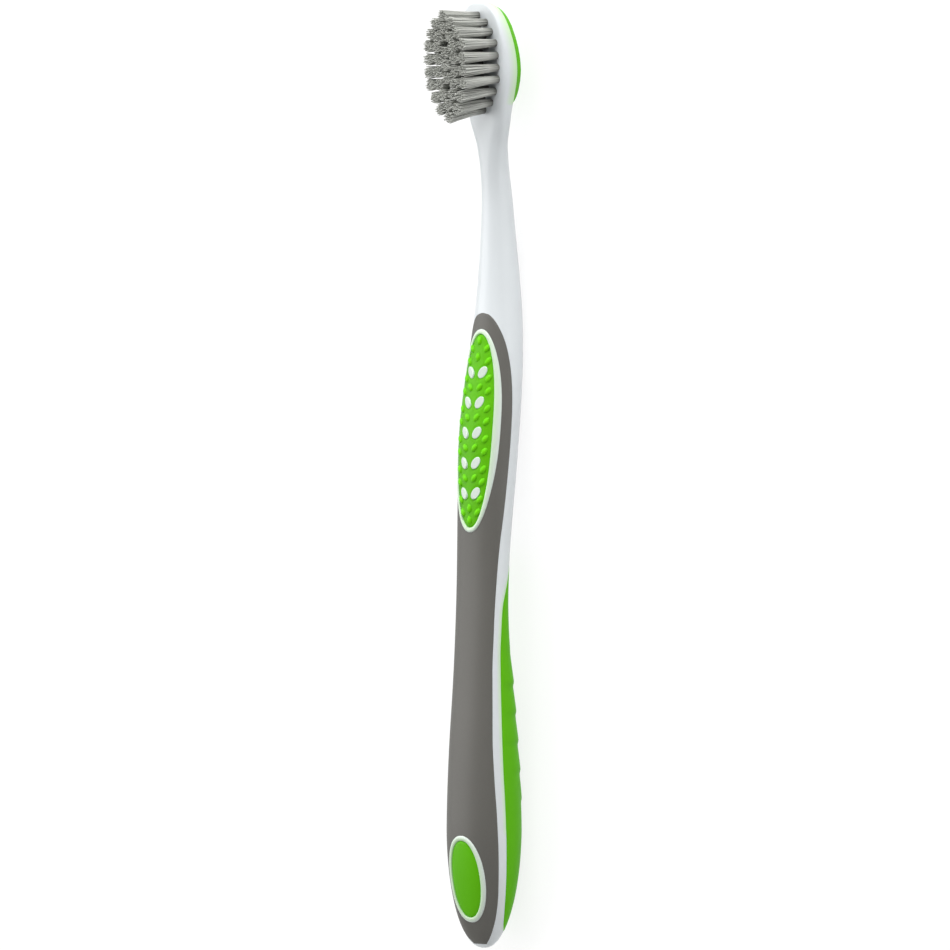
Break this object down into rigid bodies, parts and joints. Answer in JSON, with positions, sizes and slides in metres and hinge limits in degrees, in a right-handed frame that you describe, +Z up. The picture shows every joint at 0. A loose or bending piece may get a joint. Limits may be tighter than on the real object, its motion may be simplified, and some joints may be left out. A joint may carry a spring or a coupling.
{
  "type": "manual toothbrush",
  "caption": "Manual toothbrush: curved white handle with soft grey and green grips, a pimpled thumb pad, and an oval head of grey bristle tufts.",
  "frame": {"origin": "on the surface the brush lies on, under the middle of its bounding box", "axes": "+X from the butt to the head along the handle, +Z up out of the bristles, the brush lying on its back, +Y across the handle"},
  "size_m": [0.19, 0.0158, 0.0221],
  "materials": {
    "core_plastic": "smooth gloss",
    "green_elastomer": "satin",
    "grey_elastomer": "satin",
    "bristle_nylon": "fine filaments",
    "anchor_metal": "plain"
  },
  "bodies": {
    "root": {"handle_core": "core_plastic", "front_grip": "grey_elastomer", "thumb_pad": "green_elastomer", "end_pad": "green_elastomer", "back_grip": "green_elastomer", "tongue_cleaner": "green_elastomer", "tuft_anchors": "anchor_metal", "tuft_01": "bristle_nylon", "tuft_02": "bristle_nylon", "tuft_03": "bristle_nylon", "tuft_04": "bristle_nylon", "tuft_05": "bristle_nylon", "tuft_06": "bristle_nylon", "tuft_07": "bristle_nylon", "tuft_08": "bristle_nylon", "tuft_09": "bristle_nylon", "tuft_10": "bristle_nylon", "tuft_11": "bristle_nylon", "tuft_12": "bristle_nylon", "tuft_13": "bristle_nylon", "tuft_14": "bristle_nylon", "tuft_15": "bristle_nylon", "tuft_16": "bristle_nylon", "tuft_17": "bristle_nylon", "tuft_18": "bristle_nylon", "tuft_19": "bristle_nylon", "tuft_20": "bristle_nylon", "tuft_21": "bristle_nylon", "tuft_22": "bristle_nylon", "tuft_23": "bristle_nylon", "tuft_24": "bristle_nylon", "tuft_25": "bristle_nylon", "tuft_26": "bristle_nylon", "tuft_27": "bristle_nylon", "tuft_28": "bristle_nylon", "tuft_29": "bristle_nylon", "tuft_30": "bristle_nylon", "tuft_31": "bristle_nylon", "tuft_32": "bristle_nylon", "tuft_33": "bristle_nylon", "tuft_34": "bristle_nylon", "tuft_35": "bristle_nylon"}
  },
  "joints": []
}
